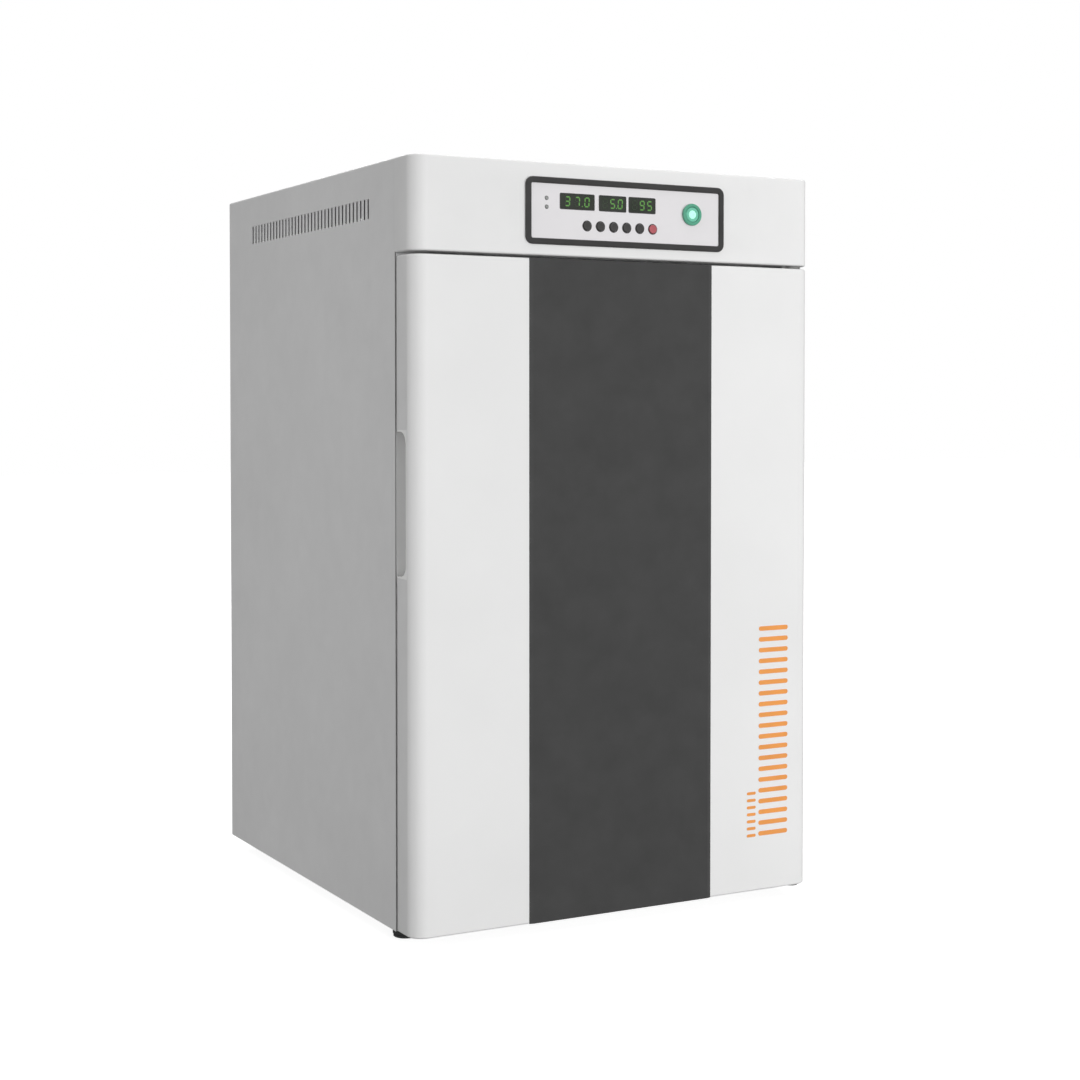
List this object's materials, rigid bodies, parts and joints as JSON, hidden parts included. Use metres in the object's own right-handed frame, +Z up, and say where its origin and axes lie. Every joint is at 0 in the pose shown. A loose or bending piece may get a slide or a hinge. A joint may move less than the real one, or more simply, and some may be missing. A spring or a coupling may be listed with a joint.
{
  "type": "laboratory incubator",
  "caption": "Upright cell-culture incubator: heated stainless chamber with shelves and water tray, inner glass door, insulated outer door and a keypad panel in the header.",
  "frame": {"origin": "middle of the footprint, on the surface the feet stand on", "axes": "+Z up, -Y the front with the doors, +X the right-hand side seen from the front"},
  "size_m": [0.538, 0.608, 0.884],
  "materials": {
    "painted_shell": "light grey-white powder coat, fine orange peel",
    "painted_front": "white powder coat, semi-gloss",
    "dark_panel": "charcoal, satin",
    "bezel_grey": "dark grey, matte",
    "plate_grey": "light grey printed film, matte",
    "display_green": "dark green lens, glossy",
    "led_lens": "small clear lens",
    "key_grey": "mid grey, matte",
    "key_red": "dull red, matte",
    "button_ring": "green, glossy",
    "button_cap": "mint, lit, glossy",
    "board_green": "solder-mask green",
    "stainless": "brushed stainless steel",
    "zinc_sheet": "galvanised sheet",
    "silicone": "pale grey silicone",
    "insulation": "mineral fibre blanket",
    "heater_mat": "orange silicone heating mat",
    "white_plastic": "white moulded plastic",
    "door_liner_white": "white moulded skin, semi-gloss",
    "gasket_grey": "grey gasket rubber",
    "black_plastic": "black moulded plastic",
    "black_rubber": "black rubber",
    "motor_body": "black enamel",
    "window_glass": "clear toughened glass",
    "brass_fitting": "turned brass",
    "clear_tube": "translucent polyurethane tube",
    "psu_alloy": "extruded aluminium"
  },
  "bodies": {
    "cabinet": {"outer_shell": "painted_shell", "back_panel": "painted_shell", "panel_screws": "stainless", "base_pan": "painted_shell", "front_frame": "painted_front", "electronics_deck": "zinc_sheet", "header_fascia": "painted_front", "control_bezel": "bezel_grey", "control_plate": "plate_grey", "display_windows": "display_green", "status_leds": "led_lens", "power_button_bezel": "button_ring", "control_board": "board_green", "chamber_liner": "stainless", "chamber_seal": "silicone", "insulation_jacket": "insulation", "heater_pads": "heater_mat", "rack_posts": "stainless", "shelf_rails": "stainless", "fan_duct_cover": "stainless", "fan_motor": "motor_body", "chamber_sensors": "stainless", "access_port_tube": "stainless", "glass_hinge_brackets": "stainless", "magnet_catch": "black_plastic", "door_hinge_brackets": "stainless", "gas_inlet": "brass_fitting", "gas_line": "clear_tube", "solenoid_valve": "motor_body", "power_inlet": "black_plastic", "power_supply": "psu_alloy", "wiring_loom": "black_rubber", "rear_bumpers": "black_rubber"},
    "outer_door": {"door_outer_shell": "painted_front", "door_centre_panel": "dark_panel", "door_inner_liner": "door_liner_white", "door_insulation": "insulation", "door_gasket": "gasket_grey", "door_handle_cup": "white_plastic", "door_hinge_bushes": "white_plastic"},
    "glass_door": {"glass_pane": "window_glass", "glass_hinge_clips": "stainless", "glass_pull": "black_plastic"},
    "lower_shelf": {"shelf_lower": "stainless"},
    "middle_shelf": {"shelf_middle": "stainless"},
    "upper_shelf": {"shelf_upper": "stainless"},
    "water_tray": {"humidity_tray": "stainless"},
    "impeller": {"fan_impeller": "white_plastic"},
    "port_plug": {"access_port_plug": "silicone"},
    "power_button": {"power_button_cap": "button_cap"},
    "left_front_foot": {"foot_front_left": "black_plastic"},
    "right_front_foot": {"foot_front_right": "black_plastic"},
    "left_rear_foot": {"foot_rear_left": "black_plastic"},
    "right_rear_foot": {"foot_rear_right": "black_plastic"},
    "key_1_body": {"key_1": "key_grey"},
    "key_2_body": {"key_2": "key_grey"},
    "key_3_body": {"key_3": "key_grey"},
    "key_4_body": {"key_4": "key_grey"},
    "key_5_body": {"key_5": "key_grey"},
    "key_6_body": {"key_6": "key_red"}
  },
  "joints": [
    {"name": "outer_door_hinge", "type": "hinge", "parent": "cabinet", "child": "outer_door", "pos_m": [0.254, -0.282, 0.394], "axis": [0, 0, 1], "range_deg": [0, 120]},
    {"name": "glass_door_hinge", "type": "hinge", "parent": "cabinet", "child": "glass_door", "pos_m": [0.22, -0.248, 0.394], "axis": [0, 0, 1], "range_deg": [0, 90]},
    {"name": "lower_shelf_slide", "type": "slide", "parent": "cabinet", "child": "lower_shelf", "axis": [0, 1, 0], "range_m": [-0.018, 0]},
    {"name": "middle_shelf_slide", "type": "slide", "parent": "cabinet", "child": "middle_shelf", "axis": [0, 1, 0], "range_m": [-0.018, 0]},
    {"name": "upper_shelf_slide", "type": "slide", "parent": "cabinet", "child": "upper_shelf", "axis": [0, 1, 0], "range_m": [-0.018, 0]},
    {"name": "water_tray_slide", "type": "slide", "parent": "cabinet", "child": "water_tray", "axis": [0, 1, 0], "range_m": [-0.018, 0]},
    {"name": "fan_spin", "type": "hinge", "parent": "cabinet", "child": "impeller", "pos_m": [0, 0.168, 0.455], "axis": [0, 1, 0], "continuous": true},
    {"name": "port_plug_slide", "type": "slide", "parent": "cabinet", "child": "port_plug", "axis": [0, 1, 0], "range_m": [0, 0.05]},
    {"name": "power_button_press", "type": "slide", "parent": "cabinet", "child": "power_button", "axis": [0, 1, 0], "range_m": [0, 0.002], "stiffness_N_per_m": 900, "springref_m": -0.001},
    {"name": "key_1_press", "type": "slide", "parent": "cabinet", "child": "key_1_body", "axis": [0, 1, 0], "range_m": [0, 0.001], "stiffness_N_per_m": 900, "springref_m": -0.001},
    {"name": "key_2_press", "type": "slide", "parent": "cabinet", "child": "key_2_body", "axis": [0, 1, 0], "range_m": [0, 0.001], "stiffness_N_per_m": 900, "springref_m": -0.001},
    {"name": "key_3_press", "type": "slide", "parent": "cabinet", "child": "key_3_body", "axis": [0, 1, 0], "range_m": [0, 0.001], "stiffness_N_per_m": 900, "springref_m": -0.001},
    {"name": "key_4_press", "type": "slide", "parent": "cabinet", "child": "key_4_body", "axis": [0, 1, 0], "range_m": [0, 0.001], "stiffness_N_per_m": 900, "springref_m": -0.001},
    {"name": "key_5_press", "type": "slide", "parent": "cabinet", "child": "key_5_body", "axis": [0, 1, 0], "range_m": [0, 0.001], "stiffness_N_per_m": 900, "springref_m": -0.001},
    {"name": "key_6_press", "type": "slide", "parent": "cabinet", "child": "key_6_body", "axis": [0, 1, 0], "range_m": [0, 0.001], "stiffness_N_per_m": 900, "springref_m": -0.001},
    {"name": "left_front_foot_height", "type": "slide", "parent": "cabinet", "child": "left_front_foot", "axis": [0, 0, 1], "range_m": [-0.012, 0]},
    {"name": "right_front_foot_height", "type": "slide", "parent": "cabinet", "child": "right_front_foot", "axis": [0, 0, 1], "range_m": [-0.012, 0]},
    {"name": "left_rear_foot_height", "type": "slide", "parent": "cabinet", "child": "left_rear_foot", "axis": [0, 0, 1], "range_m": [-0.012, 0]},
    {"name": "right_rear_foot_height", "type": "slide", "parent": "cabinet", "child": "right_rear_foot", "axis": [0, 0, 1], "range_m": [-0.012, 0]}
  ],
  "couplings": [
    {"joint": "glass_door_hinge", "follows": "outer_door_hinge", "ratio": 0.75}
  ]
}
